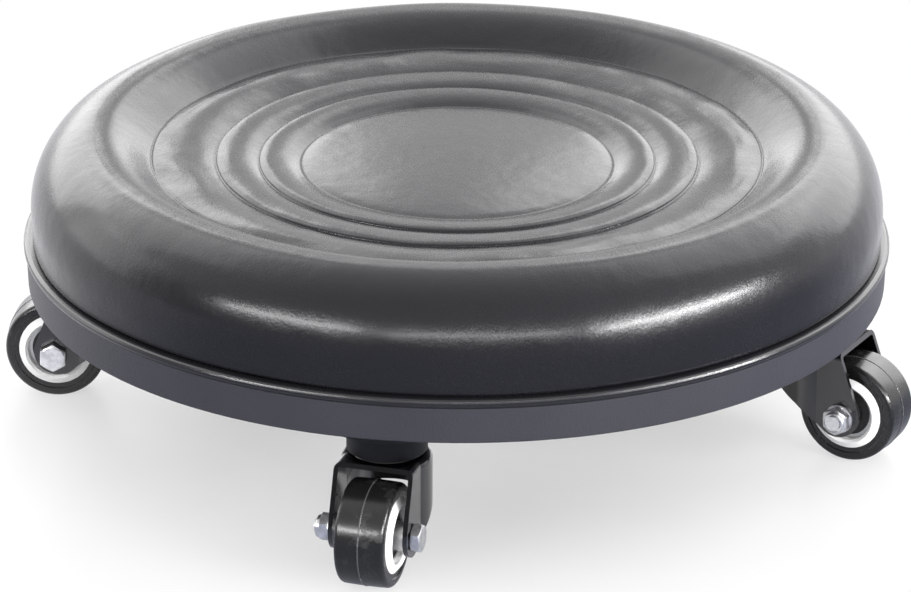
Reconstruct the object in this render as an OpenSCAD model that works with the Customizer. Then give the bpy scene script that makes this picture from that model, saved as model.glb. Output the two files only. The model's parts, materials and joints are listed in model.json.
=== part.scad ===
// Low round creeper seat: a padded leather cushion on a moulded pan, on four swivel casters.
// The origin is on the floor under the middle of the seat, +Z is up, and the front faces -Y.
// A caster is drawn in its own place: swivel axis on Z, wheel trailing towards -Y, axle along X.

/* [Seat] */
// Diameter over the bead of the base pan
seat_d = 340; // [320:1:380]
// Height of the pan's flat underside above the floor
pan_z = 61; // [60:0.5:66]
// Height of the pan from its underside to its rim
pan_h = 18; // [17:0.5:22]
// Thickness of the pan's wall and floor
pan_wall = 3; // [2.4:0.1:3.6]
// How far the bead stands out from the pan's wall
bead_proud = 1; // [0.6:0.1:1.4]
// Radius of the bead's round edge
bead_r = 1.8; // [1.5:0.1:2.2]
// How much narrower the pan is at its foot than under its bead, on the radius
pan_draft = 0.6; // [0.3:0.1:1.5]
// Radius of the pan's lower edge
pan_edge = 0.8; // [0.4:0.1:1.2]

/* [Cushion] */
// How far the cushion's foot stays inside the bead, on the radius
cushion_ledge = 3.2; // [2.8:0.1:5]
// Height of the cushion's crest above the pan's rim
cushion_h = 43; // [40:0.5:55]
// Drop from the crest to the crease round the middle disc
dish_drop = 14.3; // [10:0.1:18]
// Rise of the middle disc's dome over its crease
dome_rise = 3.6; // [2:0.1:6]
// Rise of each ring band over its creases
band_rise = 2.3; // [1:0.1:3.5]
// Height above the rim at which the rolled edge turns into the upright side
side_h = 11.3; // [9:0.1:16]
// How far the upright side leans in above the cushion's foot
side_lean = 3.4; // [2:0.1:5]
// Radius of the cushion's lower edge
foot_round = 1.6; // [1.4:0.1:2.4]
// Thickness of the leather
cover_t = 1.2; // [0.8:0.1:1.3]
// Width of the hem turned under the board
hem_w = 22; // [18:1:26]
// Thickness of the seat board
board_t = 9; // [8.5:0.5:15]
// Foam between the edge of the board and the leather
edge_foam = 6; // [5.4:0.1:8]

/* [Screws and staples] */
// Number of screws that hold the pan to the board
screw_count = 6; // [4:1:8]
// Radius of the circle that the screws stand on
screw_circle_r = 100; // [90:1:108]
// Radius of a screw's shank
screw_r = 2; // [1.5:0.1:2.2]
// Radius of a screw's head
screw_head_r = 3.8; // [3.2:0.1:4]
// Height of a screw's head
screw_head_h = 2.6; // [2:0.1:3.5]
// Depth of a screw in the board
screw_bite = 8; // [6:0.1:8.2]
// Height of the screw's seat above the pan's underside
screw_seat_h = 11; // [8:0.5:12]
// Wall round a screw's well
well_wall = 2.2; // [1.6:0.1:3]
// Number of staples in the hem
staple_count = 24; // [12:12:36]
// Width of a staple's crown
staple_w = 10; // [6:0.5:12]
// Thickness of a staple's wire
staple_wire = 0.7; // [0.5:0.1:1]
// Depth of a staple in the board
staple_bite = 6; // [4:0.1:7]

/* [Pan ribs] */
// Number of radial ribs inside the pan
rib_count = 12; // [12:12:24]
// Thickness of a rib
rib_t = 2; // [1.5:0.1:3]
// Radius of the ring that the radial ribs start from
rib_ring_r = 30; // [25:1:45]

/* [Casters] */
// Radius of the circle that the swivel axes stand on
caster_circle_r = 143.8; // [140:0.1:144.4]
// Direction of the first caster seen from the middle, counted from the front
first_azimuth = -10.3; // [-45:0.1:45]
// Trail of the axle behind the swivel axis
trail = 17.5; // [17:0.1:19]
// Radius of the round mounting pad inside the pan
pad_r = 13; // [11:0.5:14]
// Thickness of the mounting pad
pad_t = 5; // [4:0.1:6]
// Radius of the top dish
dish_r = 23.5; // [20:0.1:23.5]
// Thickness of the top dish's plate
dish_t = 2; // [1.5:0.1:2.5]
// Radius of the round edge under the top dish
dish_edge = 0.8; // [0.4:0.1:1.2]
// Radius of the top dish's skirt
skirt_r = 15.4; // [15.2:0.1:17]
// Thickness of the skirt's wall
skirt_t = 1.4; // [1.2:0.1:1.5]

/* [Fork] */
// Height of the fork's bridge above the floor
bridge_z = 47; // [46:0.1:47.5]
// Thickness of the fork's sheet
fork_t = 1.8; // [1.6:0.1:2.2]
// Gap between the tyre and each cheek
cheek_gap = 4; // [2.5:0.05:4.4]
// Radius of the fork's rounded back
fork_back_r = 17.2; // [16.9:0.1:18]
// Outer radius of the bend between bridge and cheeks
fork_bend = 2.8; // [2.4:0.1:3.2]
// Distance from the axle back to the bridge's front edge
bridge_setback = 0.8; // [0:0.1:2]
// Radius of the cheek's rounded end
cheek_end_r = 9.3; // [8.5:0.1:10]
// Distance of the rounded end's centre behind the axle
cheek_end_back = 1.5; // [0:0.1:2]
// Height of the rounded end's centre above the axle
cheek_end_up = 1.1; // [0:0.1:1.5]
// Height of the crown, the raised raceway on the bridge
crown_h = 3.5; // [3:0.1:3.8]
// Radius of the crown's flat top
crown_r = 12.2; // [12:0.1:12.5]
// Run of the crown's slanted side
crown_slope = 1.6; // [1:0.1:2]

/* [Swivel bearing] */
// Number of balls in a swivel head
ball_count = 12; // [8:1:12]
// Radius of a swivel ball
ball_r = 2.2; // [2:0.05:2.3]
// Radius of the circle that the swivel balls run on
ball_circle_r = 9.6; // [9.4:0.05:9.8]
// Height of a ball's centre over the crown
ball_stand = 1.4; // [1.2:0.05:1.6]
// Gap between the top dish's skirt and the bridge
skirt_gap = 1.3; // [0.8:0.1:2]
// Radius of the king bolt
king_r = 4; // [3.5:0.1:4.5]
// Width of the king bolt's head and nut across flats
king_across = 13; // [12:0.1:14]
// Height of the king bolt's head
king_head_h = 4.5; // [3.5:0.1:5]
// Radius of the washer under the king bolt's nut
king_washer_r = 8; // [7.6:0.1:9]
// Height of the king bolt's nut
king_nut_h = 5.5; // [4:0.1:6]
// Length of thread past the nut
king_end = 1.5; // [0.5:0.1:2]

/* [Wheel] */
// Width of the tyre
tyre_w = 19.5; // [18.8:0.1:21]
// Drop of the tread from its middle to its shoulder
tread_crown = 0.15; // [0.1:0.05:0.8]
// Radius of the tyre's shoulder
shoulder_r = 1.8; // [1.6:0.1:3.2]
// Thickness of the wheel hub between its bearings and the tyre
hub_t = 3.6; // [3.2:0.1:4]
// Thickness of the tyre over the hub
tyre_t = 5.6; // [4.5:0.1:6.2]
// Width over the hub's faces at their outer edge
hub_w = 18.6; // [18.2:0.1:18.8]
// How far the hub's coned face stands out towards its middle
hub_cone = 1.9; // [0.6:0.1:2.4]
// Depth of the bevel round the bearing's seat, along the axle and across it
hub_bevel = 1; // [0.6:0.1:1.3]
// Height of the rib that keys the hub into the tyre
key_h = 1.2; // [0.6:0.1:1.5]
// Width of the rib that keys the hub into the tyre
key_w = 8; // [5:0.1:10]
// Depth of the step in the tyre's side wall
side_step = 0.4; // [0.2:0.05:0.8]
// Outer radius of a wheel bearing
bearing_r = 11; // [10.5:0.1:11.2]
// Width of a wheel bearing
bearing_w = 7; // [6:0.1:7.2]
// Space between the two bearings
bearing_space = 2; // [1.5:0.1:2.4]
// Thickness of a bearing race
race_t = 1.6; // [1.2:0.1:1.8]
// Number of balls in a wheel bearing
race_ball_count = 7; // [5:1:8]
// Depth of the groove that the balls run in, in the outer race
race_groove = 0.2; // [0.1:0.05:0.4]
// Thickness of a bearing seal
seal_t = 0.6; // [0.4:0.1:0.8]

/* [Axle] */
// Radius of the axle bolt
axle_r = 3; // [2.5:0.1:3.2]
// Width of the axle bolt's head and nut across flats
axle_across = 10; // [9:0.1:11]
// Height of the axle bolt's head
axle_head_h = 4; // [3:0.1:5]
// Height of the axle nut's hexagon
axle_nut_h = 3.8; // [3:0.1:5]
// Radius of the axle nut's locking collar
collar_r = 4.4; // [4:0.1:4.5]
// Height of the axle nut's locking collar
collar_h = 1.5; // [1:0.1:2.5]
// Width of the groove round the thread in the collar's end
collar_groove = 0.7; // [0.3:0.1:0.8]
// Depth of the groove round the thread
collar_groove_h = 0.8; // [0.4:0.1:1.2]
// Radius of the washer under the axle nut
washer_r = 5.7; // [5.3:0.1:6.6]
// Thickness of a washer
washer_t = 1; // [0.8:0.1:1.6]
// Length of thread past the axle nut
axle_end = 0.5; // [0.2:0.1:2.5]
// Wall thickness of the axle sleeve
sleeve_t = 0.9; // [0.6:0.1:1.1]

/* [Hidden] */
$fn = 72;

// The seat's creases, from the middle outwards: radius as a share of the cushion's,
// and height above the first crease as a share of the dish's drop
crease_radius_shares = [0.370, 0.465, 0.566, 0.707];
crease_height_shares = [0, 0.084, 0.133, 0.28];
// Radius of the crest as a share of the cushion's
crest_share = 0.834;
// Fullness of the rolled edge, 2 for a plain quarter ellipse
roll_fullness = 1.95;
// How a ring band swells between its creases, below 1 for a fuller band
band_fullness = 0.8;
// How the upright side swings out to its foot
side_swing = 1.6;
// Steps along each stretch of the cushion's outline
dome_steps = 8;
band_steps = 6;
rise_steps = 9;
roll_steps = 12;
side_steps = 4;
arc_steps = 6;

// Outline of the fork's heel, from its back to its cheek: run as a share of the back's radius,
// height as a share of the way from the axle up to the bridge
heel_shares = [[-1.1, 0.30], [-0.60, 0.30], [-0.44, 0.28], [-0.05, 0.12]];
// Round face of a hexagon head or nut as a share of its width, and the slant round that face
hex_face_share = 0.92;
hex_slant = 30;
// Where the side wall's step lies between the hub and the shoulder's centre, as a share
step_share = 0.6;

// Casters, clockwise from the front as seen from above, each with its own angle of toe
caster_names = ["front", "right", "back", "left"];
toes = [-6.3, -17.5, 9, 6.1];

// Clearances: loose hole, running hole, snug seat, curved faces that move past each other
hole_play = 0.15;
running_play = 0.06;
snug_play = 0.02;
race_play = 0.3;
// How far a cut runs past the face that it opens
overrun = 1;

// Places and sizes that follow
seat_r = seat_d / 2;
wall_top_r = seat_r - bead_proud;
pan_foot_r = wall_top_r - pan_draft;
pan_inner_r = pan_foot_r - pan_wall;
floor_z = pan_z + pan_wall;
rim_z = pan_z + pan_h;
bead_in = seat_r - bead_r;
bead_start = -acos((bead_r - bead_proud) / bead_r);

cushion_r = seat_r - cushion_ledge;
crest_r = cushion_r * crest_share;
crest_z = rim_z + cushion_h;
crease_r = cushion_r * crease_radius_shares;
crease_z = [for (share = crease_height_shares) crest_z - dish_drop * (1 - share)];
side_r = cushion_r - side_lean;
side_z = rim_z + side_h;
foot_z = rim_z + foot_round;
hem_z = rim_z + cover_t;
board_r = cushion_r - cover_t - edge_foam;
board_top = hem_z + board_t;
hem_r = board_r - hem_w;
staple_r = hem_r + hem_w / 2;

well_r = screw_head_r + hole_play;
boss_r = well_r + well_wall;
screw_seat_z = pan_z + screw_seat_h;
rib_turn = first_azimuth + 180 / rib_count;

caster_count = len(caster_names);
pad_z = pan_z + pad_t;
hub_r = bearing_r + hub_t;
wheel_r = hub_r + tyre_t;
fork_w = tyre_w + 2 * (cheek_gap + fork_t);
axle_len = fork_w + washer_t + axle_nut_h + collar_h + axle_end;
fork_in = fork_w / 2 - fork_t;
crown_z = bridge_z + crown_h;
ball_z = crown_z + ball_stand;
boss_z = ball_z + ball_stand;
groove_r = ball_r + race_play;
skirt_z = bridge_z + skirt_gap;
king_head_z = crown_z - fork_t - race_play;
king_nut_z = pad_z + washer_t;
king_top = king_nut_z + king_nut_h + king_end;

sleeve_r = axle_r + hole_play + sleeve_t;
race_end = bearing_space / 2 + bearing_w;
inner_race_r = sleeve_r + race_t;
outer_race_in = bearing_r - race_t;
race_ball_circle = (inner_race_r + outer_race_in) / 2;
race_ball_r = outer_race_in + race_groove - snug_play - race_ball_circle;
stop_r = bearing_r - race_t / 2;

// Colours
leather_black = [0.10, 0.10, 0.11];
foam_cream = [0.86, 0.80, 0.62];
ply_tan = [0.76, 0.60, 0.40];
pan_black = [0.16, 0.16, 0.18];
enamel_black = [0.07, 0.07, 0.09];
zinc = [0.74, 0.75, 0.77];
steel = [0.60, 0.61, 0.63];
tyre_black = [0.09, 0.09, 0.09];
hub_white = [0.94, 0.94, 0.93];
seal_black = [0.05, 0.05, 0.05];

caster_pieces = [
    "top_dish", "fork", "axle_bolt", "axle_nut", "axle_washer", "axle_sleeve", "axle_spacers",
    "inner_races", "bearings", "bearing_seals", "wheel_hub", "tyre"
];

// Points on an arc about a centre
function arc(centre, r, from, to, steps) = [
    for (i = [0 : steps]) let (a = from + (to - from) * i / steps) centre + r * [cos(a), sin(a)]
];

// A point of a line that runs outwards and down, moved square into the body under it
function inset(line, i, depth) =
    let (
        before = line[max(i - 1, 0)],
        after = line[min(i + 1, len(line) - 1)],
        along = (after - before) / norm(after - before),
        moved = line[i] + depth * [along[1], -along[0]]
    ) [max(moved[0], 0), moved[1]];

// A half outline that ends on the wheel's middle, followed by its mirror image
function both_halves(line, middle) = concat(
    line,
    middle,
    [for (i = [len(line) - 1 : -1 : 0]) [line[i][0], -line[i][1]]]
);

// The point where a line from p touches a circle, on the side given by turn
function touch(p, centre, r, turn) =
    let (
        way = p - centre,
        reach = norm(way),
        a = atan2(way[1], way[0]) + turn * acos(r / reach)
    ) centre + r * [cos(a), sin(a)];

// The cushion's outline, from the middle of the seat out to its foot
dome_line = [
    for (i = [0 : dome_steps - 1]) let (s = i / dome_steps)
        [crease_r[0] * s, crease_z[0] + dome_rise * (1 - s * s)]
];
band_lines = [
    for (k = [0 : len(crease_r) - 2]) for (i = [0 : band_steps - 1]) let (s = i / band_steps)
        [
            crease_r[k] + (crease_r[k + 1] - crease_r[k]) * s,
            crease_z[k] + (crease_z[k + 1] - crease_z[k]) * s
                + band_rise * pow(4 * s * (1 - s), band_fullness)
        ]
];
last_crease = len(crease_r) - 1;
rise_line = [
    for (i = [0 : rise_steps - 1]) let (s = i / rise_steps)
        [
            crease_r[last_crease] + (crest_r - crease_r[last_crease]) * s,
            crease_z[last_crease] + (crest_z - crease_z[last_crease]) * sin(90 * s)
        ]
];
roll_line = [
    for (i = [0 : roll_steps - 1]) let (a = 90 * i / roll_steps)
        [
            crest_r + (side_r - crest_r) * pow(sin(a), 2 / roll_fullness),
            side_z + (crest_z - side_z) * pow(cos(a), 2 / roll_fullness)
        ]
];
side_line = [
    for (i = [0 : side_steps]) let (s = i / side_steps)
        [side_r + side_lean * pow(s, side_swing), side_z + (foot_z - side_z) * s]
];
cushion_line = concat(dome_line, band_lines, rise_line, roll_line, side_line);
foot_line = arc([cushion_r - foot_round, foot_z], foot_round, -90 / arc_steps, -90, arc_steps - 1);
lining_line = [for (i = [0 : len(cushion_line) - 1]) inset(cushion_line, i, cover_t)];
lining_foot = [cushion_r - cover_t, hem_z];

// Six-sided block standing on z = 0, with its corners turned off to a round face at both ends
module hex_block(across, h) {
    corner = across / sqrt(3);
    face_r = hex_face_share * across / 2;
    chamfer = (corner - face_r) * tan(hex_slant);
    intersection() {
        cylinder(h = h, r = corner, $fn = 6);
        rotate_extrude() polygon([
            [0, 0],
            [face_r, 0],
            [corner, chamfer],
            [corner, h - chamfer],
            [face_r, h],
            [0, h]
        ]);
    }
}

// Ring round the Z axis
module ring(inner, outer, h) {
    difference() {
        cylinder(h = h, r = outer);
        translate([0, 0, -overrun]) cylinder(h = h + 2 * overrun, r = inner);
    }
}

// Copies evenly round the seat's axis
module around(count, turn = 0) {
    for (i = [0 : count - 1]) rotate([0, 0, turn + 360 * i / count]) children();
}

// Swivel axis of caster i, and the caster turned to its toe
module at_axis(i) {
    rotate([0, 0, first_azimuth + 360 * i / caster_count]) translate([0, -caster_circle_r, 0]) children();
}
module at_caster(i) {
    at_axis(i) rotate([0, 0, toes[i]]) children();
}
module at_every_axis() {
    for (i = [0 : caster_count - 1]) at_axis(i) children();
}

// Middle of the axle, with Z along the axle towards the bolt's head
module on_axle() {
    translate([0, -trail, wheel_r]) rotate([0, 90, 0]) children();
}

// The same piece at both ends of the axle
module both_sides() {
    children();
    mirror([0, 0, 1]) children();
}

// Leather skin, formed into creases and a rolled edge, with its hem turned under the board
module cushion_cover() {
    color(leather_black) rotate_extrude()
        polygon(concat(
            cushion_line,
            foot_line,
            [[hem_r, rim_z], [hem_r, hem_z], lining_foot],
            [for (i = [len(lining_line) - 1 : -1 : 0]) lining_line[i]]
        ));
}

// Foam that fills the skin and wraps the board's edge
module foam_pad() {
    color(foam_cream) rotate_extrude()
        polygon(concat(
            lining_line,
            [lining_foot, [board_r, hem_z], [board_r, board_top], [0, board_top]]
        ));
}

module seat_board() {
    color(ply_tan) difference() {
        translate([0, 0, hem_z]) cylinder(h = board_t, r = board_r);
        around(screw_count, rib_turn)
            translate([screw_circle_r, 0, hem_z - overrun])
                cylinder(h = overrun + screw_bite + hole_play, r = screw_r + hole_play);
    }
}

// Wire staples that hold the hem to the board
module cover_staples() {
    color(steel) around(staple_count, rib_turn + 180 / staple_count)
        translate([staple_r, 0, rim_z - staple_wire]) {
            translate([-staple_wire / 2, -staple_w / 2, 0]) cube([staple_wire, staple_w, staple_wire]);
            for (side = [0, 1])
                mirror([0, side, 0]) translate([-staple_wire / 2, staple_w / 2 - staple_wire, 0])
                    cube([staple_wire, staple_wire, staple_wire + cover_t + staple_bite]);
        }
}

// Shallow pan with a bead round its rim, ribs, screw wells and caster pads inside
module base_pan() {
    color(pan_black) difference() {
        union() {
            rotate_extrude() polygon(concat(
                [[0, pan_z]],
                arc([pan_foot_r - pan_edge, pan_z + pan_edge], pan_edge, -90, 0, arc_steps),
                arc([bead_in, rim_z - bead_r], bead_r, bead_start, 90, arc_steps),
                [[pan_inner_r, rim_z], [pan_inner_r, floor_z], [0, floor_z]]
            ));
            around(rib_count, rib_turn)
                translate([rib_ring_r, -rib_t / 2, pan_z + pan_wall / 2])
                    cube([pan_inner_r + pan_wall / 2 - rib_ring_r, rib_t, pan_h - pan_wall / 2]);
            for (r = [rib_ring_r, screw_circle_r])
                translate([0, 0, pan_z + pan_wall / 2])
                    ring(r - rib_t / 2, r + rib_t / 2, pan_h - pan_wall / 2);
            around(screw_count, rib_turn)
                translate([screw_circle_r, 0, pan_z + pan_wall / 2])
                    cylinder(h = hem_z - pan_z - pan_wall / 2, r = boss_r);
            at_every_axis()
                translate([0, 0, pan_z + pan_wall / 2]) cylinder(h = pad_t - pan_wall / 2, r = pad_r);
        }
        around(screw_count, rib_turn) translate([screw_circle_r, 0, 0]) {
            translate([0, 0, pan_z - overrun]) cylinder(h = overrun + screw_seat_h, r = well_r);
            translate([0, 0, pan_z]) cylinder(h = pan_h + cover_t + overrun, r = screw_r + hole_play);
        }
        at_every_axis()
            translate([0, 0, pan_z - overrun]) cylinder(h = pad_t + 2 * overrun, r = king_r + hole_play);
    }
}

// Pan-head screws that come up through the pan's wells into the board
module board_screws() {
    length = hem_z + screw_bite - screw_seat_z;
    color(zinc) around(screw_count, rib_turn) translate([screw_circle_r, 0, screw_seat_z]) {
        rotate_extrude() polygon(concat(
            [[0, -screw_head_h]],
            arc([screw_head_r / 2, -screw_head_h / 2], screw_head_h / 2, -90, 0, arc_steps),
            [[screw_head_r, 0], [screw_r, 0], [screw_r, length - screw_r], [0, length]]
        ));
    }
}

// Round upper raceway with a skirt that shields the balls, tight under the pan
module top_dish() {
    color(enamel_black) rotate_extrude() difference() {
        polygon(concat(
            [[king_r + running_play, pan_z], [dish_r, pan_z]],
            arc([dish_r - dish_edge, pan_z - dish_t + dish_edge], dish_edge, 0, -90, arc_steps),
            [
                [skirt_r, pan_z - dish_t],
                [skirt_r, skirt_z],
                [skirt_r - skirt_t, skirt_z],
                [skirt_r - skirt_t, boss_z],
                [king_r + running_play, boss_z]
            ]
        ));
        translate([ball_circle_r, ball_z]) circle(r = ball_r + snug_play);
    }
}

// Bolts that the forks turn on: hexagon heads under the crowns, threads up through the pan
module king_bolts() {
    color(zinc) at_every_axis() {
        translate([0, 0, king_head_z - king_head_h]) {
            hex_block(king_across, king_head_h);
            cylinder(h = king_head_h + king_top - king_head_z, r = king_r);
        }
    }
}

module stem_washers() {
    color(zinc) at_every_axis() translate([0, 0, pad_z]) ring(king_r + hole_play, king_washer_r, washer_t);
}

module stem_nuts() {
    color(zinc) at_every_axis() translate([0, 0, king_nut_z]) difference() {
        hex_block(king_across, king_nut_h);
        translate([0, 0, -overrun]) cylinder(h = king_nut_h + 2 * overrun, r = king_r + running_play);
    }
}

module swivel_balls() {
    color(steel) at_every_axis() around(ball_count) translate([ball_circle_r, 0, ball_z]) sphere(r = ball_r);
}

// Solid that the fork's sheet wraps, drawn in by depth: a round back under the swivel axis
// and a straight channel to the front, both rounded into the bridge
module fork_body(depth) {
    top = bridge_z - depth;
    bend = fork_bend - depth;
    back_r = fork_back_r - depth;
    half_w = fork_w / 2 - depth;
    front = trail + cheek_end_r + overrun;
    rotate_extrude() polygon(concat(
        [[0, 0], [back_r, 0]],
        arc([back_r - bend, top - bend], bend, 0, 90, arc_steps),
        [[0, top]]
    ));
    rotate([90, 0, 0]) linear_extrude(front) polygon(concat(
        [[-half_w, 0], [half_w, 0]],
        arc([half_w - bend, top - bend], bend, 0, 90, arc_steps),
        arc([bend - half_w, top - bend], bend, 90, 180, arc_steps)
    ));
}

// Side view of the fork, run in x and height in y: slanted front, rounded ends, swept heel
module fork_side() {
    end = [trail - cheek_end_back, wheel_r + cheek_end_up];
    rise = bridge_z - wheel_r;
    bridge_front = [trail - bridge_setback, bridge_z];
    heel = [for (p = heel_shares) [fork_back_r * p[0], wheel_r + rise * p[1]]];
    last = heel[len(heel) - 1];
    polygon(concat(
        [bridge_front, touch(bridge_front, end, cheek_end_r, -1), end, touch(last, end, cheek_end_r, 1)],
        [for (i = [len(heel) - 1 : -1 : 0]) heel[i]],
        [[heel[0][0], bridge_z + overrun], [bridge_front[0], bridge_z + overrun]]
    ));
    translate(end) circle(r = cheek_end_r);
}

// Pressed fork: bridge, two cheeks and round back in one sheet, with the lower raceway raised on it
module fork() {
    color(enamel_black) difference() {
        union() {
            intersection() {
                difference() {
                    fork_body(0);
                    fork_body(fork_t);
                }
                translate([fork_w, 0, 0]) rotate([90, 0, -90]) linear_extrude(2 * fork_w) fork_side();
            }
            translate([0, 0, bridge_z - fork_t]) rotate_extrude() polygon([
                [0, 0],
                [crown_r + crown_slope, 0],
                [crown_r + crown_slope, fork_t],
                [crown_r, fork_t + crown_h],
                [0, fork_t + crown_h]
            ]);
        }
        translate([0, 0, bridge_z - fork_t]) rotate_extrude() polygon([
            [0, -overrun],
            [crown_r + crown_slope - fork_t, -overrun],
            [crown_r + crown_slope - fork_t, 0],
            [crown_r - fork_t, crown_h],
            [0, crown_h]
        ]);
        translate([0, 0, bridge_z]) cylinder(h = crown_h + overrun, r = king_r + running_play);
        rotate_extrude() translate([ball_circle_r, ball_z]) circle(r = groove_r);
        on_axle() translate([0, 0, -fork_w]) cylinder(h = 2 * fork_w, r = axle_r + hole_play);
    }
}

// Hexagon bolt through both cheeks
module axle_bolt() {
    color(zinc) on_axle() {
        translate([0, 0, fork_w / 2]) hex_block(axle_across, axle_head_h);
        translate([0, 0, fork_w / 2 - axle_len]) cylinder(h = axle_len + axle_head_h / 2, r = axle_r);
    }
}

module axle_washer() {
    color(zinc) on_axle()
        translate([0, 0, -fork_w / 2 - washer_t]) ring(axle_r + hole_play, washer_r, washer_t);
}

// Lock nut: a hexagon with a rounded collar that grips the thread
module axle_nut() {
    nut_len = axle_nut_h + collar_h;
    collar_round = collar_h / 2;
    color(zinc) on_axle() mirror([0, 0, 1]) translate([0, 0, fork_w / 2 + washer_t]) difference() {
        union() {
            hex_block(axle_across, axle_nut_h);
            rotate_extrude() polygon(concat(
                [[0, axle_nut_h / 2], [collar_r, axle_nut_h / 2]],
                arc([collar_r - collar_round, nut_len - collar_round], collar_round, 0, 90, arc_steps),
                [[0, nut_len]]
            ));
        }
        translate([0, 0, -overrun]) cylinder(h = nut_len + 2 * overrun, r = axle_r + running_play);
        translate([0, 0, nut_len - collar_groove_h])
            cylinder(h = collar_groove_h + overrun, r = axle_r + collar_groove);
    }
}

// Tube that keeps the cheeks apart and carries the bearings
module axle_sleeve() {
    color(steel) on_axle() translate([0, 0, -fork_in]) ring(axle_r + hole_play, sleeve_r, 2 * fork_in);
}

// Collars between the bearings and the cheeks
module axle_spacers() {
    color(steel) on_axle() both_sides() translate([0, 0, race_end])
        ring(sleeve_r + running_play, inner_race_r, fork_in - race_end);
}

module inner_races() {
    color(steel) on_axle() both_sides() translate([0, 0, bearing_space / 2]) difference() {
        ring(sleeve_r + running_play, inner_race_r, bearing_w);
        ball_groove(race_ball_r + race_play);
    }
}

// Round groove that a wheel bearing's balls run in
module ball_groove(r) {
    rotate_extrude() translate([race_ball_circle, bearing_w / 2]) circle(r = r);
}

// Outer races with their balls
module bearings() {
    color(steel) on_axle() both_sides() translate([0, 0, bearing_space / 2]) {
        difference() {
            ring(outer_race_in, bearing_r, bearing_w);
            ball_groove(race_ball_r + snug_play);
        }
        around(race_ball_count) translate([race_ball_circle, 0, bearing_w / 2]) sphere(r = race_ball_r);
    }
}

module bearing_seals() {
    color(seal_black) on_axle() both_sides() translate([0, 0, race_end - seal_t - race_play])
        ring(inner_race_r + race_play, outer_race_in, seal_t);
}

// Moulded hub with coned faces, seats for the bearings and a rib that keys the tyre
module wheel_hub() {
    lip = hub_w / 2 + hub_cone;
    color(hub_white) on_axle() rotate_extrude() polygon(both_halves([
        [stop_r, bearing_space / 2],
        [bearing_r, bearing_space / 2],
        [bearing_r, lip - hub_bevel],
        [bearing_r + hub_bevel, lip],
        [hub_r, hub_w / 2],
        [hub_r, key_w / 2],
        [hub_r + key_h, key_w / 2]
    ], []));
}

// Tyre with a crowned tread, round shoulders and a step in its side walls
module tyre() {
    shoulder = [wheel_r - tread_crown - shoulder_r, tyre_w / 2 - shoulder_r];
    step_r = hub_r + (shoulder[0] - hub_r) * step_share;
    tread_r = (tread_crown * tread_crown + shoulder[1] * shoulder[1]) / (2 * tread_crown);
    tread_a = asin(shoulder[1] / tread_r);
    tread_step = tread_a / arc_steps;
    color(tyre_black) on_axle() rotate_extrude() polygon(both_halves(concat(
        [
            [hub_r + key_h, key_w / 2],
            [hub_r, key_w / 2],
            [hub_r, hub_w / 2],
            [step_r - side_step, tyre_w / 2 - side_step],
            [step_r, tyre_w / 2]
        ],
        arc(shoulder, shoulder_r, 90, 0, arc_steps),
        arc([wheel_r - tread_r, 0], tread_r, tread_a - tread_step, tread_step, arc_steps - 2)
    ), [[wheel_r, 0]]));
}

cushion_cover();
foam_pad();
seat_board();
cover_staples();
base_pan();
board_screws();
king_bolts();
stem_washers();
stem_nuts();
swivel_balls();
for (i = [0 : caster_count - 1]) {
    at_caster(i) top_dish();
    at_caster(i) fork();
    at_caster(i) axle_bolt();
    at_caster(i) axle_nut();
    at_caster(i) axle_washer();
    at_caster(i) axle_sleeve();
    at_caster(i) axle_spacers();
    at_caster(i) inner_races();
    at_caster(i) bearings();
    at_caster(i) bearing_seals();
    at_caster(i) wheel_hub();
    at_caster(i) tyre();
}
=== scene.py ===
# %% [markdown]
# # Creeper seat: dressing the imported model
#
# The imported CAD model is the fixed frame: every piece of metal, plastic and rubber is already
# there at its real size. This script gives those pieces their finishes, models the leather
# cushion anew as a soft form, and adds the studio. Everything is in metres, +Z is up and the
# seat's front faces -Y.

import json
import math

import bpy
import numpy as np
from mathutils import Matrix, Vector, noise


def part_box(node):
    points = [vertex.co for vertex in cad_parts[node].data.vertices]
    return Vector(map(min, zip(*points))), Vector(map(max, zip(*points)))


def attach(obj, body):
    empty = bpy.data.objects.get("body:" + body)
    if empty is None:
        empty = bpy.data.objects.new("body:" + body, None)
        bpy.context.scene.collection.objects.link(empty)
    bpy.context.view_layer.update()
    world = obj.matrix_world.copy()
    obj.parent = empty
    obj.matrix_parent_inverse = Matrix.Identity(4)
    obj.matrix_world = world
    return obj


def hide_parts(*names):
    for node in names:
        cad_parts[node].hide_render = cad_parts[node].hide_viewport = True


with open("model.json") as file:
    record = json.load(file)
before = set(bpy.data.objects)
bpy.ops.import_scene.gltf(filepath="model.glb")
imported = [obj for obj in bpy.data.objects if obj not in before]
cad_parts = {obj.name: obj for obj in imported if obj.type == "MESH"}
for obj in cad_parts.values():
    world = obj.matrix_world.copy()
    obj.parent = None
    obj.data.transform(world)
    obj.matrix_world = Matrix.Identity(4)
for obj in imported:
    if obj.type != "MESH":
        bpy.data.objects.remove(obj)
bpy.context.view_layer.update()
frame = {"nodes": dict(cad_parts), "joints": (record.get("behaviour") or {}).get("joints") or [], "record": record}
nodes = frame["nodes"]
CASTERS = ("front", "right", "back", "left")
MM = 0.001

# %% [markdown]
# ## The camera
#
# The photograph was taken from far away with a long lens, so the seat's near and far edges look
# almost equally wide. A camera is easiest to describe the way a photographer would: how far it
# stands from what it looks at, how high, how far it is tipped, and its lens. The small roll is
# the tilt that the photograph's horizon has.

# %% Camera
LENS = 276.6
SENSOR = 36.0
PITCH = math.radians(22.33)
ROLL = math.radians(0.307)
STAND_OFF = 2.7626
AIM = Vector((-0.0003, 0.0, 0.0513))

forward = Vector((0, math.cos(PITCH), -math.sin(PITCH)))
right = Vector((1, 0, 0))
upward = right.cross(forward)
rolled_right = math.cos(ROLL) * right + math.sin(ROLL) * upward
rolled_up = math.cos(ROLL) * upward - math.sin(ROLL) * right

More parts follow.
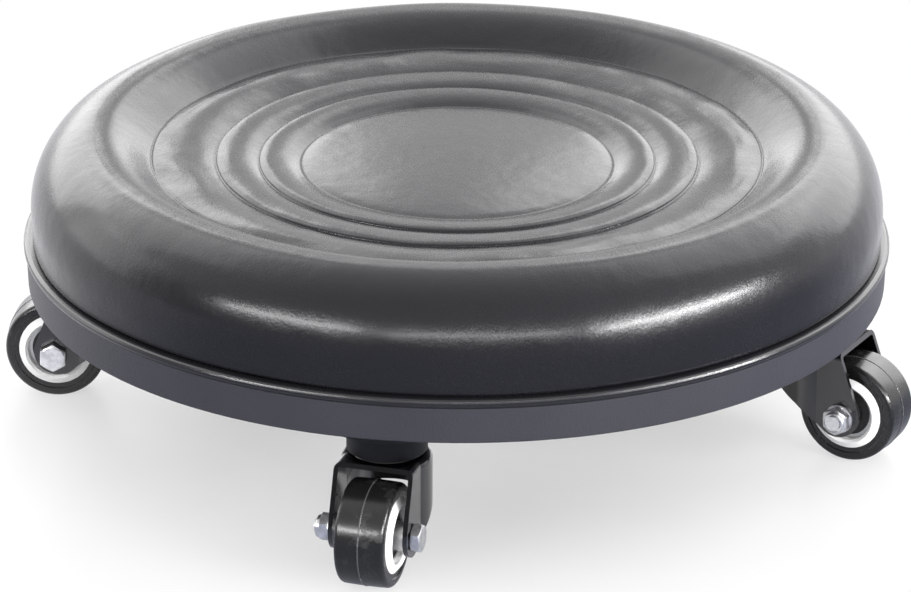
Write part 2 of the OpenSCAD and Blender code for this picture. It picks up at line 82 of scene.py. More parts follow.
camera = bpy.data.objects.new("camera", bpy.data.cameras.new("camera"))
bpy.context.collection.objects.link(camera)
camera.data.lens = LENS
camera.data.sensor_width = SENSOR
camera.data.clip_end = 20.0
facing = Matrix((rolled_right, rolled_up, -forward)).transposed()
camera.matrix_world = Matrix.Translation(AIM - STAND_OFF * forward) @ facing.to_4x4()
bpy.context.scene.camera = camera
print("camera stands at", [round(v, 3) for v in camera.matrix_world.translation])

# %% [markdown]
# ## Writing shaders as sums
#
# A finish is mostly arithmetic: take a noise, scale it, add it to a base roughness. Wiring Math
# nodes by hand hides that, so one small class wraps a node's output and lets Python's own
# operators add the nodes. A second one holds the material and adds any other kind of node.

# %% Shader helpers
class Wire:
    """A node's output. Arithmetic on it adds Math nodes."""

    def __init__(self, finish, socket):
        self.finish = finish
        self.socket = socket

    def math(self, operation, *values):
        return self.finish.add("ShaderNodeMath", {"operation": operation}, dict(enumerate(values)))

    def __add__(self, other):
        return self.math("ADD", self, other)

    def __sub__(self, other):
        return self.math("SUBTRACT", self, other)

    def __rsub__(self, other):
        return self.math("SUBTRACT", other, self)

    def __mul__(self, other):
        return self.math("MULTIPLY", self, other)

    __radd__ = __add__
    __rmul__ = __mul__

    def wave(self):
        """The sine of the value, moved into 0 to 1."""
        return self.math("SINE", self) * 0.5 + 0.5

    def between(self, low, high):
        """0 at low, 1 at high, and smooth on the way."""
        return self.finish.add(
            "ShaderNodeMapRange",
            {"interpolation_type": "SMOOTHSTEP"},
            {"Value": self, "From Min": low, "From Max": high},
        )


class Finish:
    """A material, filled node by node."""

    def __init__(self, name):
        self.material = bpy.data.materials.new(name)
        self.material.use_nodes = True
        self.tree = self.material.node_tree
        self.tree.nodes.clear()
        self.place = self.add("ShaderNodeTexCoord", out="Object")

    def add(self, kind, settings=None, sockets=None, out=0):
        """Adds a node: settings first, then the values or links of its sockets."""
        node = self.tree.nodes.new(kind)
        for key, value in (settings or {}).items():
            setattr(node, key, value)
        for key, value in (sockets or {}).items():
            if isinstance(value, Wire):
                self.tree.links.new(value.socket, node.inputs[key])
            else:
                node.inputs[key].default_value = value
        return Wire(self, node.outputs[out]) if node.outputs else None

    def noise(self, size, detail=2.0, rough=0.5, where=None):
        """Soft noise whose blots are about size metres across, from 0 to 1."""
        sockets = {"Vector": where or self.place, "Scale": 1 / size, "Detail": detail, "Roughness": rough}
        return self.add("ShaderNodeTexNoise", {}, sockets)

    def cells(self, size):
        """Distance inside cells about size metres across."""
        sockets = {"Vector": self.place, "Scale": 1 / size}
        return self.add("ShaderNodeTexVoronoi", {"feature": "F1"}, sockets)

    def height(self):
        """Height above the floor in metres."""
        return self.add("ShaderNodeSeparateXYZ", {}, {0: self.place}, out="Z")

    def blend(self, share, first, second):
        """A colour that goes from first to second with share."""
        pair = {0: share, 6: first, 7: second}
        return self.add("ShaderNodeMix", {"data_type": "RGBA"}, pair, out=2)

    def relief(self, depth, profile, under=None):
        """Bumps of the given depth in metres, over those under them."""
        sockets = {"Height": profile, "Distance": depth}
        if under:
            sockets["Normal"] = under
        return self.add("ShaderNodeBump", {}, sockets)

    def surface(self, **sockets):
        """The shader itself. Underscores in a name stand for spaces."""
        named = {key.replace("_", " "): value for key, value in sockets.items()}
        shader = self.add("ShaderNodeBsdfPrincipled", {}, named)
        self.add("ShaderNodeOutputMaterial", {}, {"Surface": shader})
        return self.material


def grey(level, blue=1.0):
    """An opaque grey, a little bluer where blue is over 1."""
    return (level, level, level * blue, 1.0)


# %% [markdown]
# ## Black PU leather
#
# The cushion's skin is coated cloth: almost black and a touch blue, with a fine pebbled grain
# that breaks up the highlights. Grain this small is bump, not mesh: cells give pebbles of about
# a millimetre with a finer tooth between them, flatter in the dish, where the mould pressed
# hardest. Large soft blots change the gloss a little, as handling does, and a slow pull of the
# cloth under the coating bends the long reflections.

# %% Leather
DISH_GRAIN = 0.4
DISH_TO_ROLL = (0.115, 0.150)


def leather():
    skin = Finish("black_leather")
    pebbles = skin.cells(1.15 * MM)
    tooth = skin.noise(0.6 * MM, detail=3.0)
    pull = skin.noise(13 * MM, detail=2.0)
    polish = skin.noise(60 * MM, detail=3.0)
    body = skin.relief(0.30 * MM, pull)
    reach = skin.add("ShaderNodeVectorMath", {"operation": "LENGTH"}, {0: skin.place}, out="Value")
    on_roll = DISH_GRAIN + (1 - DISH_GRAIN) * reach.between(*DISH_TO_ROLL)
    grain = skin.relief(0.050 * MM, (pebbles * 0.5 + tooth * 0.5) * on_roll, under=body)
    return skin.surface(
        Base_Color=skin.blend(polish, grey(0.0065, 1.25), grey(0.0095, 1.25)),
        Roughness=0.25 + 0.07 * polish - 0.04 * pebbles,
        Normal=grain,
        Specular_IOR_Level=0.32,
        Coat_Weight=0.12,
        Coat_Roughness=0.15,
    )


black_leather = leather()

# %% [markdown]
# ## Moulded pan
#
# The pan is polypropylene from a spark-eroded mould, which leaves a pebble of under a millimetre
# on the wall, while the bead round its rim was polished in the mould. The bead's colour is also
# painted darker than the wall's, though it is the same plastic: that is painted shade. Both come
# from one material: the height above the floor tells wall from bead.

# %% Pan plastic
PAN_H = 18 * MM
BEAD_H = 3.6 * MM
BEAD_FADE = 0.5 * MM
rim_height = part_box("base_pan")[0].z + PAN_H


def pan_plastic():
    shell = Finish("pan_plastic")
    # Mask of the bead: it makes the bead smooth and glossy, and it also paints the bead darker, which is painted
    # shade.
    bead_polish_and_shade = shell.height().between(rim_height - BEAD_H - BEAD_FADE, rim_height - BEAD_H)
    pebble = shell.noise(0.9 * MM, detail=4.0, rough=0.6)
    streak = shell.noise(35 * MM, detail=2.0)
    wall = shell.blend(streak, grey(0.019, 1.35), grey(0.026, 1.35))
    return shell.surface(
        # The bead's darker colour is painted shade on the same plastic as the wall.
        Base_Color=shell.blend(bead_polish_and_shade, wall, grey(0.010, 1.2)),
        Roughness=0.48 - 0.30 * bead_polish_and_shade + 0.10 * streak,
        Normal=shell.relief(0.16 * MM, pebble * (1 - 0.9 * bead_polish_and_shade)),
        Specular_IOR_Level=0.5,
    )


pan_black = pan_plastic()

# %% [markdown]
# ## Caster finishes
#
# The pressed steel is dip-coated in a satin blue-black. Nuts and bolts are bright zinc with a
# faint mottle. Tyres are poured polyurethane, smooth and glossy, and the hub is white nylon.

# %% Caster finishes
CROWN_H = 3.5 * MM
SHELTER_FADE = 1.5 * MM
BRIDGE_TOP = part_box("front_fork")[1].z - CROWN_H


def coated_steel():
    coat = Finish("coated_steel")
    orange_peel = coat.noise(1.6 * MM, detail=2.0)
    drift = coat.noise(12 * MM, detail=2.0)
    sheltered = coat.height().between(BRIDGE_TOP, BRIDGE_TOP + SHELTER_FADE)
    return coat.surface(
        Base_Color=coat.blend(drift, grey(0.0045, 1.3), grey(0.0075, 1.35)),
        Roughness=0.20 + 0.08 * drift + 0.35 * sheltered,
        Normal=coat.relief(0.025 * MM, orange_peel),
        Specular_IOR_Level=0.55,
        Coat_Weight=0.9 - 0.9 * sheltered,
        Coat_Roughness=0.14,
    )


def bright_zinc():
    plate = Finish("bright_zinc")
    mottle = plate.noise(2.5 * MM, detail=4.0)
    rub = plate.noise(0.4 * MM, detail=3.0)
    return plate.surface(
        Base_Color=plate.blend(mottle.between(0.35, 0.65), grey(0.66, 1.02), grey(0.86, 1.02)),
        Metallic=1.0,
        Roughness=0.24 + 0.16 * mottle,
        Normal=plate.relief(0.01 * MM, rub),
    )


def plain_steel():
    steel = Finish("plain_steel")
    rub = steel.noise(1.0 * MM, detail=3.0)
    return steel.surface(
        Base_Color=steel.blend(rub, grey(0.42), grey(0.56)),
        Metallic=1.0,
        Roughness=0.26 + 0.14 * rub,
        Normal=steel.relief(0.01 * MM, rub),
    )


def tyre_rubber(name, level):
    rubber = Finish(name)
    scuff = rubber.noise(6 * MM, detail=5.0, rough=0.65)
    speck = rubber.noise(0.7 * MM, detail=2.0)
    worn = scuff.between(0.52, 0.75)
    return rubber.surface(
        Base_Color=rubber.blend(worn, grey(level), grey(2.6 * level, 1.05)),
        Roughness=0.24 + 0.20 * worn,
        Normal=rubber.relief(0.02 * MM, speck + scuff),
        Specular_IOR_Level=0.55,
    )


def white_nylon():
    nylon = Finish("white_nylon")
    haze = nylon.noise(5 * MM, detail=3.0)
    return nylon.surface(
        Base_Color=nylon.blend(haze, grey(0.80), grey(0.86)),
        Roughness=0.34 + 0.12 * haze,
        Normal=nylon.relief(0.01 * MM, haze),
    )


def black_seal():
    seal = Finish("black_seal")
    speck = seal.noise(0.8 * MM, detail=3.0)
    return seal.surface(
        Base_Color=seal.blend(speck, grey(0.010), grey(0.020)),
        Roughness=0.45 + 0.2 * speck,
        Normal=seal.relief(0.02 * MM, speck),
    )


# %% [markdown]
# ## Hidden pieces
#
# Foam and board are closed in by the leather, but someone may open the seat up, so they get a
# plain finish too: open-celled cream foam, and plywood whose plies show on the edge.

# %% Foam and plywood
board_low, board_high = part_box("seat_board")
PLIES = 7


def cream_foam():
    foam = Finish("cream_foam")
    pores = foam.cells(1.1 * MM)
    return foam.surface(
        Base_Color=foam.blend(pores, (0.62, 0.52, 0.30, 1), (0.80, 0.72, 0.48, 1)),
        Roughness=0.9,
        Normal=foam.relief(0.4 * MM, pores),
    )


def plywood():
    wood = Finish("plywood")
    ply = (board_high.z - board_low.z) / PLIES
    layer = (wood.height() * (math.pi / ply)).wave()
    squash = wood.add("ShaderNodeMapping", {}, {"Vector": wood.place, "Scale": (1.0, 0.06, 1.0)})
    fibre = wood.noise(1.2 * MM, detail=4.0, where=squash)
    return wood.surface(
        Base_Color=wood.blend(fibre * 0.6 + layer * 0.4, (0.36, 0.22, 0.11, 1), (0.62, 0.44, 0.26, 1)),
        Roughness=0.65 + 0.2 * fibre,
        Normal=wood.relief(0.1 * MM, fibre),
    )


# %% [markdown]
# ## Dressing the CAD pieces
#
# A CAD piece whose shape is right stays as it is and only gets its finish. The record gives each
# one a material slot, so one table from slot to finish dresses them all, on every caster alike.

# %% Assign the finishes
slot_finish = {
    "leather": black_leather,
    "foam": cream_foam(),
    "plywood": plywood(),
    "pan_plastic": pan_black,
    "enamel": coated_steel(),
    "zinc": bright_zinc(),
    "steel": plain_steel(),
    "dark_plastic": black_seal(),
    "hub_plastic": white_nylon(),
    "tyre": tyre_rubber("tyre_rubber", 0.007),
}
for part in frame["record"]["subparts"]:
    piece = nodes[part["node"]]
    piece.data.materials.clear()
    piece.data.materials.append(slot_finish[part["material_slot"]])

# %% [markdown]
# ## The cushion's outline
#
# The real cushion is leather pressed over foam in a mould: a domed disc, three swelling bands
# with sharp creases between them, and a fat rolled edge that drops to an upright side. A shape
# like that is turned, so its outline is drawn once, from the middle outwards, and each stretch
# has its own simple curve. The outline is the CAD solid's but for two things: the outer crease
# lies a little further out and lower, and the roll is fuller, with a side that bulges slightly
# past the solid's and tucks in at the foot.

# %% Outline
cushion_low, cushion_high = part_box("cushion_cover")
CUSHION_R = cushion_high.x
CREST_Z = cushion_high.z
FOOT_Z = cushion_low.z
CREASE_RADIUS_SHARES = (0.370, 0.465, 0.566, 0.717)
CREASE_HEIGHT_SHARES = (0, 0.084, 0.133, 0.215)
CREST_SHARE = 0.834
DISH_DROP = 14.3 * MM
DOME_RISE = 3.6 * MM
BAND_RISE = 2.3 * MM
SIDE_H = 11.3 * MM
SIDE_BULGE = 0.3 * MM
SIDE_TUCK = 0.5 * MM
FOOT_ROUND = 1.6 * MM
ROLL_FULLNESS = 1.95
BAND_FULLNESS = 0.62
SIDE_SWING = 1.3
DOME_ROWS = 34
BAND_ROWS = (22, 22, 30)
RISE_ROWS = 26
ROLL_ROWS = 44
SIDE_ROWS = 12
FOOT_ROWS = 8

crease_r = [CUSHION_R * share for share in CREASE_RADIUS_SHARES]
crease_z = [CREST_Z - DISH_DROP * (1 - share) for share in CREASE_HEIGHT_SHARES]
crest_r = CUSHION_R * CREST_SHARE
side_r = CUSHION_R + SIDE_BULGE
side_z = FOOT_Z + SIDE_H


def spread(count, ends=0.0):
    """Evenly spaced values from 0 up to, not with, 1, drawn towards both ends by ends."""
    even = np.arange(count) / count
    return even - ends * np.sin(math.tau * even) / math.tau


def dome(count):
    s = spread(count)
    return np.column_stack((crease_r[0] * s, crease_z[0] + DOME_RISE * (1 - s * s)))


def band(inner, count):
    """The swelling ring outside crease number inner."""
    s = spread(count, ends=0.6)
    radius = crease_r[inner] + (crease_r[inner + 1] - crease_r[inner]) * s
    chord = crease_z[inner] + (crease_z[inner + 1] - crease_z[inner]) * s
    return np.column_stack((radius, chord + BAND_RISE * (4 * s * (1 - s)) ** BAND_FULLNESS))


def rise(count):
    s = spread(count)
    radius = crease_r[-1] + (crest_r - crease_r[-1]) * s
    return np.column_stack((radius, crease_z[-1] + (CREST_Z - crease_z[-1]) * np.sin(s * math.pi / 2)))


def roll(count):
    a = spread(count) * math.pi / 2
    radius = crest_r + (side_r - crest_r) * np.sin(a) ** (2 / ROLL_FULLNESS)
    return np.column_stack((radius, side_z + (CREST_Z - side_z) * np.cos(a) ** (2 / ROLL_FULLNESS)))


def side(count):
    s = spread(count)
    foot = FOOT_Z + FOOT_ROUND
    return np.column_stack((side_r - SIDE_TUCK * s ** SIDE_SWING, side_z + (foot - side_z) * s))


def foot_round(count):
    a = np.linspace(0, math.pi / 2, count)
    centre_r = side_r - SIDE_TUCK - FOOT_ROUND
    return np.column_stack((centre_r + FOOT_ROUND * np.cos(a), FOOT_Z + FOOT_ROUND * (1 - np.sin(a))))


bands = [band(inner, count) for inner, count in enumerate(BAND_ROWS)]
edge = (rise(RISE_ROWS), roll(ROLL_ROWS), side(SIDE_ROWS), foot_round(FOOT_ROWS))
outline = np.vstack((dome(DOME_ROWS), *bands, *edge))
print(f"outline: {len(outline)} points, out to {outline[:, 0].max() / MM:.1f} mm")

# %% [markdown]
# ## Letting the skin settle
#
# A turned cushion looks machined. Real leather is drawn over the foam: it swells a little between
# the creases that hold it and puckers beside them. That is work for the cloth solver. A coarse
# copy of the skin, slightly too large for its foam, is pinned along the creases and the foot and
# blown up by a small pressure for twenty frames. What is kept is only how far each point stood
# off the moulded shape, and no further than the cap, so the creases stay sharp on the fine mesh.

# %% Cloth helpers
AROUND = 384
COARSE_AROUND = 128
COARSE_STEP = 2
CAP = 0.6 * MM
SLACK = 0.006
SMOOTHING = 3
FRAMES = 20
SIDE_FADE = 16
NUDGE = 0.1 * MM
NUDGE_SIZE = 12 * MM
crease_rows = [DOME_ROWS + sum(BAND_ROWS[:k]) for k in range(len(BAND_ROWS) + 1)]
side_row = crease_rows[-1] + RISE_ROWS + ROLL_ROWS


def outline_normals(points):
    """Unit normals of the outline, pointing out of the cushion."""
    along = np.gradient(points, axis=0)
    along /= np.linalg.norm(along, axis=1, keepdims=True)
    return np.column_stack((-along[:, 1], along[:, 0]))


def spin_points(points, spin):
    """All points of an outline spun through the angles, ring by ring."""
    radius, height = points[:, :1], points[:, 1:]
    rings = np.stack((radius * np.cos(spin), radius * np.sin(spin), height + 0 * spin), axis=2)
    return rings.reshape(-1, 3)


def ring_faces(rings, around):
    """Faces of a stack of rings: a fan at each end and four-sided faces between."""
    i = np.arange(around)
    after = (i + 1) % around
    faces = [(0, 1 + a, 1 + b) for a, b in zip(i, after)]
    for start in 1 + around * np.arange(rings - 1):
        faces += [
            (start + a, start + around + a, start + around + b, start + b) for a, b in zip(i, after)
        ]
    last = 1 + around * (rings - 1)
    return faces + [(last + b, last + a, last + around) for a, b in zip(i, after)]


def closed_skin(name, rings, count, top, bottom):
    """A closed mesh from rings of points and a middle point at each end."""
    around = len(rings) // count
    mesh = bpy.data.meshes.new(name)
    points = [(0.0, 0.0, top), *map(tuple, rings.tolist()), (0.0, 0.0, bottom)]
    faces = [tuple(int(v) for v in face) for face in ring_faces(count, around)]
    mesh.from_pydata(points, [], faces)
    made = bpy.data.objects.new(name, mesh)
    bpy.context.collection.objects.link(made)
    return made


# %% Settle a coarse copy
def settle(points):
    """How far the leather stands off its moulded shape, ring by ring, on the coarse copy."""
    coarse = points[COARSE_STEP::COARSE_STEP]
    spin = np.arange(COARSE_AROUND) * math.tau / COARSE_AROUND
    rings = spin_points(coarse, spin)
    nudge = np.array([noise.noise(Vector(p) / NUDGE_SIZE) for p in rings]) * NUDGE
    out = outline_normals(points)[COARSE_STEP::COARSE_STEP]
    outward = spin_points(out, spin)
    nudged = rings + nudge[:, None] * outward
    copy = closed_skin("coarse_skin", nudged, len(coarse), points[0, 1], points[-1, 1])

    rows = np.arange(COARSE_STEP, len(points), COARSE_STEP)
    held_rows = [k for k, row in enumerate(rows) if row in crease_rows or row >= side_row]
    held = copy.vertex_groups.new(name="held")
    ids = [1 + k * COARSE_AROUND + i for k in held_rows for i in range(COARSE_AROUND)]
    held.add(ids + [0, len(copy.data.vertices) - 1], 1.0, "REPLACE")

    cloth = copy.modifiers.new("settle", "CLOTH")
    cloth.settings.quality = 6
    cloth.settings.tension_stiffness = 18
    cloth.settings.bending_stiffness = 0.4
    cloth.settings.shrink_min = -SLACK
    cloth.settings.shrink_max = -SLACK
    cloth.settings.use_pressure = True
    cloth.settings.uniform_pressure_force = 4.0
    cloth.settings.vertex_group_mass = "held"
    cloth.settings.effector_weights.gravity = 0.0
    cloth.collision_settings.use_collision = False
    cloth.point_cache.frame_end = FRAMES
    scene = bpy.context.scene
    for frame_number in range(1, FRAMES + 1):
        scene.frame_set(frame_number)
    settled = copy.evaluated_get(bpy.context.evaluated_depsgraph_get()).data
    now = np.empty(3 * len(settled.vertices))
    settled.vertices.foreach_get("co", now)
    moved = now.reshape(-1, 3)[1:-1] - rings
    scene.frame_set(1)
    bpy.data.objects.remove(copy)
    stand = CAP * np.tanh((moved * outward).sum(axis=1) / CAP)
    stand = stand.reshape(len(coarse), COARSE_AROUND)
    for _ in range(SMOOTHING):
        stand = (np.roll(stand, 1, axis=1) + 2 * stand + np.roll(stand, -1, axis=1)) / 4
    free = np.clip(coarse[:, :1] / crease_r[0], 0, 1) ** 2
    over_side = np.clip((side_row - rows[:, None]) / SIDE_FADE, 0, 1)
    return stand * free * over_side


def spread_settling(stand, count):
    """The coarse copy's values for every ring and angle of the fine skin."""
    row = np.clip(np.arange(count) / COARSE_STEP - 1, 0, len(stand) - 1)
    low = np.minimum(row.astype(int), len(stand) - 2)
    part = (row - low)[:, None]
    rows = stand[low] * (1 - part) + stand[low + 1] * part
    turn_by = np.arange(AROUND) * COARSE_AROUND / AROUND
    left = turn_by.astype(int)
    share = turn_by - left
    smooth = share * share * (3 - 2 * share)
    return rows[:, left] * (1 - smooth) + rows[:, (left + 1) % COARSE_AROUND] * smooth


# %% [markdown]
# ## Turning the skin
#
# The fine skin is turned from the whole outline. Each point is then moved along the skin's own
# normal, so nothing folds over: by what the cloth settled, by a slow wander of the roll, and by
# small puckers that run outwards, held to a belt beside the creases.

# %% Skin mesh
WANDER = 0.5 * MM
WANDER_SIZE = 55 * MM
PUCKER = 0.22 * MM
PUCKER_LENGTH = 30 * MM
PUCKERS_ROUND = 9
BELT_SHARE = 0.63
BELT_WIDTH_SHARE = 0.16


def wander(radius, angle, height):
    """Slow unevenness of a hand-drawn skin at one place."""
    x, y = radius * math.cos(angle), radius * math.sin(angle)
    slow = noise.noise(Vector((x, y, height)) / WANDER_SIZE)
    edge = min(radius / crease_r[0], 1.0)
    belt = max(0.0, 1 - abs(radius - BELT_SHARE * CUSHION_R) / (BELT_WIDTH_SHARE * CUSHION_R))
    ring = (math.cos(angle) * PUCKERS_ROUND, math.sin(angle) * PUCKERS_ROUND)
    spoke = noise.noise(Vector((*ring, radius / PUCKER_LENGTH)))
    return WANDER * slow * edge + PUCKER * belt * spoke


def turn(points, name):
    """Spins an outline that starts on the axis into one closed skin."""
    spin = np.arange(AROUND) * math.tau / AROUND
    count = len(points) - 1
    stand = spread_settling(settle(points), len(points))[1:].reshape(-1)
    rings = spin_points(points[1:], spin)
    outward = spin_points(outline_normals(points)[1:], spin)
    angles = np.tile(spin, count)
    radii = np.repeat(points[1:, 0], AROUND)
    slow = np.array([wander(r, a, z) for r, a, z in zip(radii, angles, rings[:, 2])])
    made = closed_skin(name, rings + (stand + slow)[:, None] * outward, count, points[0, 1], points[-1, 1])
    made.data.shade_smooth()
    print(f"settled by {stand.min() / MM:.2f} to {stand.max() / MM:.2f} mm")
    return made


cushion = turn(outline, "leather_cushion")
cushion.data.materials.append(black_leather)
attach(cushion, "seat")
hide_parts("cushion_cover")
print(f"cushion: {len(cushion.data.vertices)} points, {len(cushion.data.polygons)} faces")

# %% [markdown]
# ## The foam under the skin
#
# The foam has to stay under the skin that was just turned, so it is turned again from the same
# outline, set in by the thickness of the leather and a little more, and it wraps the board's edge
# as the CAD solid does.

# %% Foam
FOAM_INSET = 2.2 * MM
FOAM_AROUND = 128


def foam_outline(points):
    """The skin's outline set in, then round the board's edge and back to the middle."""
    inner = (points - FOAM_INSET * outline_normals(points))[:-FOOT_ROWS]
    inner = inner[inner[:, 1] > board_low.z + FOAM_INSET]
    board = ((board_high.x, board_low.z), (board_high.x, board_high.z))
    return np.vstack((inner, (inner[-1, 0], board_low.z), *board))


foam_line = foam_outline(outline)
foam_rings = spin_points(foam_line[1:], np.arange(FOAM_AROUND) * math.tau / FOAM_AROUND)
foam = closed_skin("foam_filling", foam_rings, len(foam_line) - 1, foam_line[0, 1], board_high.z)
foam.data.shade_smooth()
foam.data.materials.append(slot_finish["foam"])
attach(foam, "seat")
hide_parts("foam_pad")
print(f"foam: {len(foam.data.vertices)} points")

# %% [markdown]
# ## The tyres' parting lines
#
# A cast tyre has a thin raised line round the middle of its tread, where the halves of the mould
# met. It is too fine for the CAD solid, so each wheel gets a slim ring, half sunk in the tread,
# turned about the roll joint's own axis, and it rides on that wheel. The ring's rubber is painted
# much lighter than the tyre's: a painted highlight, for the glint that the raised line catches.

# %% Parting lines
LINE_W = 0.55 * MM
LINE_H = 0.20 * MM
LINE_STEPS = 160
LINE_SIDES = 8
# The line's rubber is painted lighter than the tyre's: a painted highlight.
line_painted_highlight_finish = tyre_rubber("moulding_line_painted_highlight", 0.06)


def parting_line(wheel):
    """A thin ring round the tread of one wheel."""
    joint = next(j for j in frame["joints"] if j["name"] == f"{wheel}_roll")
    centre, axle = Vector(joint["pos_m"]), Vector(joint["axis"]).normalized()
    low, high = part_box(f"{wheel}_tyre")
    tread_r = (high.z - low.z) / 2
    ahead = axle.cross(Vector((0, 0, 1)))
    points = []
    for i in range(LINE_STEPS):
        turned = math.tau * i / LINE_STEPS
        spoke = math.cos(turned) * ahead + math.sin(turned) * Vector((0, 0, 1))
        for k in range(LINE_SIDES):
            a = math.tau * k / LINE_SIDES
            reach = tread_r + LINE_H * math.cos(a)
            points.append(centre + reach * spoke + LINE_W / 2 * math.sin(a) * axle)
    faces = [
        (
            i * LINE_SIDES + k,
            i * LINE_SIDES + (k + 1) % LINE_SIDES,
            (i + 1) % LINE_STEPS * LINE_SIDES + (k + 1) % LINE_SIDES,
            (i + 1) % LINE_STEPS * LINE_SIDES + k,
        )
        for i in range(LINE_STEPS)
        for k in range(LINE_SIDES)
    ]
    mesh = bpy.data.meshes.new(f"{wheel}_parting_line")
    mesh.from_pydata(points, [], faces)
    mesh.shade_smooth()
    mesh.materials.append(line_painted_highlight_finish)
    line = bpy.data.objects.new(f"{wheel}_parting_line", mesh)
    bpy.context.collection.objects.link(line)
    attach(line, f"{wheel}_wheel")


for wheel in CASTERS:
    parting_line(wheel)
print("parting lines on", len(CASTERS), "tyres")

# %% [markdown]
# ## The studio
#
# A black glossy cushion is drawn by what it mirrors. Behind it stand two big soft lights with a
# dimmer gap between them, so the bands shine left and right of the middle. A panel at the left
# and two high lights fill the shoulders. The ceiling is brighter behind than in front, the room
# in front is dark, and three low strips round the front draw the thin highlight on the rolled
# edge. The strips are flagged off the forks and top dishes, which stay dark. The floor is pale
# and keeps the seat's shadow; further out it is plain white for the camera. In reflections it is
# brighter than plain white behind the seat and a dim blue in front, as the lit and the shaded
# end of a paper sweep are.

# %% Floor
FLOOR_SIZE = 6.0
UNDER_SEAT = 0.35
SHADOW_REACH = (0.07, 0.27)
MIRROR_REACH = (0.10, 0.22)
SHADED_END = (0.36, 0.39, 0.50, 1.0)
LIT_END = (1.35, 1.35, 1.40, 1.0)
LIT_TURN = (-0.45, 0.6)
LIT_SKEW = 0.3


def studio_floor():
    paper = Finish("studio_floor")
    fibre = paper.noise(30 * MM)
    lit = paper.add("ShaderNodeBsdfPrincipled", {}, {
        "Base Color": paper.blend(fibre, grey(0.56), grey(0.60)),
        "Roughness": 0.35,
        "Specular IOR Level": 0.3,
    })
    bare = paper.add("ShaderNodeEmission", {}, {"Color": grey(1.0), "Strength": 1.0})
    reach = paper.add("ShaderNodeVectorMath", {"operation": "LENGTH"}, {0: paper.place}, out="Value")
    seen, mirrored, through = (
        paper.add("ShaderNodeLightPath", out=f"Is {kind} Ray")
        for kind in ("Camera", "Glossy", "Transmission")
    )
    across, behind = (paper.add("ShaderNodeSeparateXYZ", {}, {0: paper.place}, out=way) for way in "XY")
    skewed = behind - LIT_SKEW * across
    toward_back = skewed.math("DIVIDE", skewed, reach).between(*LIT_TURN)
    sweep = paper.blend(toward_back, SHADED_END, LIT_END)
    mirror = paper.add("ShaderNodeEmission", {}, {"Color": sweep, "Strength": 1.0})
    white = UNDER_SEAT + (1 - UNDER_SEAT) * reach.between(*SHADOW_REACH)
    shown = paper.add("ShaderNodeMixShader", {}, {0: white * (seen + through), 1: lit, 2: bare})
    share = reach.between(*MIRROR_REACH) * mirrored
    mixed = paper.add("ShaderNodeMixShader", {}, {0: share, 1: shown, 2: mirror})
    paper.add("ShaderNodeOutputMaterial", {}, {"Surface": mixed})
    return paper.material


floor_mesh = bpy.data.meshes.new("floor")
half = FLOOR_SIZE / 2
corners = [(-half, -half, 0), (half, -half, 0), (half, half, 0), (-half, half, 0)]
floor_mesh.from_pydata(corners, [], [(0, 1, 2, 3)])
floor = bpy.data.objects.new("floor", floor_mesh)
bpy.context.collection.objects.link(floor)
floor.data.materials.append(studio_floor())

# %% Sky
FRONT_LOW = 0.12
BACK_LOW = 1.3
FRONT_CEILING = 0.75
BACK_CEILING = 1.65
LOW_TURN = (-0.35, 0.45)
CEILING_TURN = (-0.55, 0.65)
CEILING_EDGE = (0.26, 0.60)

world = bpy.data.worlds.new("studio")
bpy.context.scene.world = world
world.use_nodes = True


class Sky(Finish):
    """The world's nodes, written like a finish."""

    def __init__(self, world):
        self.tree = world.node_tree
        self.tree.nodes.clear()
        self.place = self.add("ShaderNodeTexCoord", out="Generated")

    def side(self, axis):
        """The direction's share along X, Y or Z."""
        return self.add("ShaderNodeSeparateXYZ", {}, {0: self.place}, out=axis)

    def glow(self, strength):
        return self.add("ShaderNodeBackground", {}, {"Color": grey(1.0), "Strength": strength})


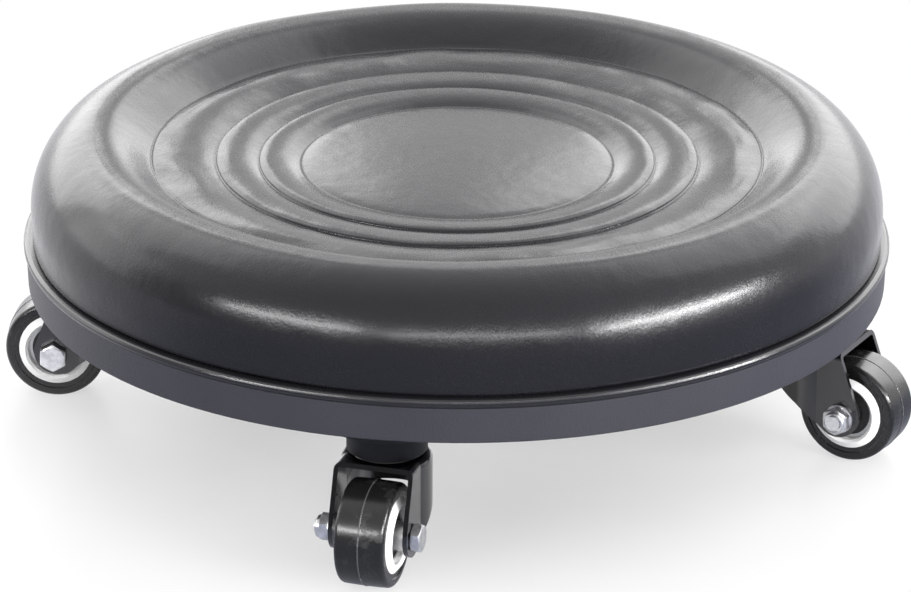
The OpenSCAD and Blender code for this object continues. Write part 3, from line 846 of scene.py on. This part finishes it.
sky = Sky(world)
behind = sky.side("Y").between(*LOW_TURN)
overhead = sky.side("Z").between(*CEILING_EDGE)
low = FRONT_LOW + (BACK_LOW - FRONT_LOW) * behind
ceiling = FRONT_CEILING + (BACK_CEILING - FRONT_CEILING) * sky.side("Y").between(*CEILING_TURN)
room = sky.glow(low * (1 - overhead) + ceiling * overhead)
seen = sky.add("ShaderNodeLightPath", out="Is Camera Ray")
shown = sky.add("ShaderNodeMixShader", {}, {0: seen, 1: room, 2: sky.glow(1.0)})
sky.add("ShaderNodeOutputWorld", {}, {"Surface": shown})

# %% Lamps
SEAT_TOP = Vector((0, 0, 0.1))
off_forks = bpy.data.collections.new("off_forks")
for caster in CASTERS:
    for piece in ("fork", "top_dish"):
        off_forks.objects.link(nodes[f"{caster}_{piece}"])
for link in off_forks.collection_objects:
    link.light_linking.link_state = "EXCLUDE"


def softbox(name, azimuth, climb, distance, size, radiance, flagged=False):
    """An area light that faces the seat, azimuth counted from the back towards +X."""
    lamp = bpy.data.lights.new(name, "AREA")
    lamp.shape = "RECTANGLE"
    lamp.size, lamp.size_y = size
    lamp.energy = math.pi * size[0] * size[1] * radiance
    holder = bpy.data.objects.new(name, lamp)
    bpy.context.collection.objects.link(holder)
    around, up = math.radians(azimuth), math.radians(climb)
    way = Vector((math.sin(around) * math.cos(up), math.cos(around) * math.cos(up), math.sin(up)))
    holder.location = SEAT_TOP + distance * way
    holder.rotation_euler = (-way).to_track_quat("-Z", "Y").to_euler()
    if flagged:
        holder.light_linking.receiver_collection = off_forks


softbox("back_left", -27, 17, 2.4, (1.8, 1.25), 3.1)
softbox("back_right", 33, 22, 2.4, (2.35, 1.45), 3.0)
softbox("left_panel", -72, 17, 2.2, (1.2, 1.1), 1.9)
softbox("high_left", -50, 44, 2.4, (1.8, 1.4), 1.8)
softbox("high_right", 55, 48, 2.4, (1.9, 1.5), 1.9)
softbox("front_strip_right", 121, 14, 1.6, (1.2, 0.09), 110, flagged=True)
softbox("front_strip_middle", 174, 17, 1.6, (1.3, 0.09), 25, flagged=True)
softbox("front_strip_left", -137, 17, 1.6, (1.0, 0.09), 46, flagged=True)

# %% Picture settings
bpy.context.scene.view_settings.view_transform = "Standard"

# %% [markdown]
# ## Closing
#
# At the end the view layer is brought up to date.

# %% Update the view layer
bpy.context.view_layer.update()
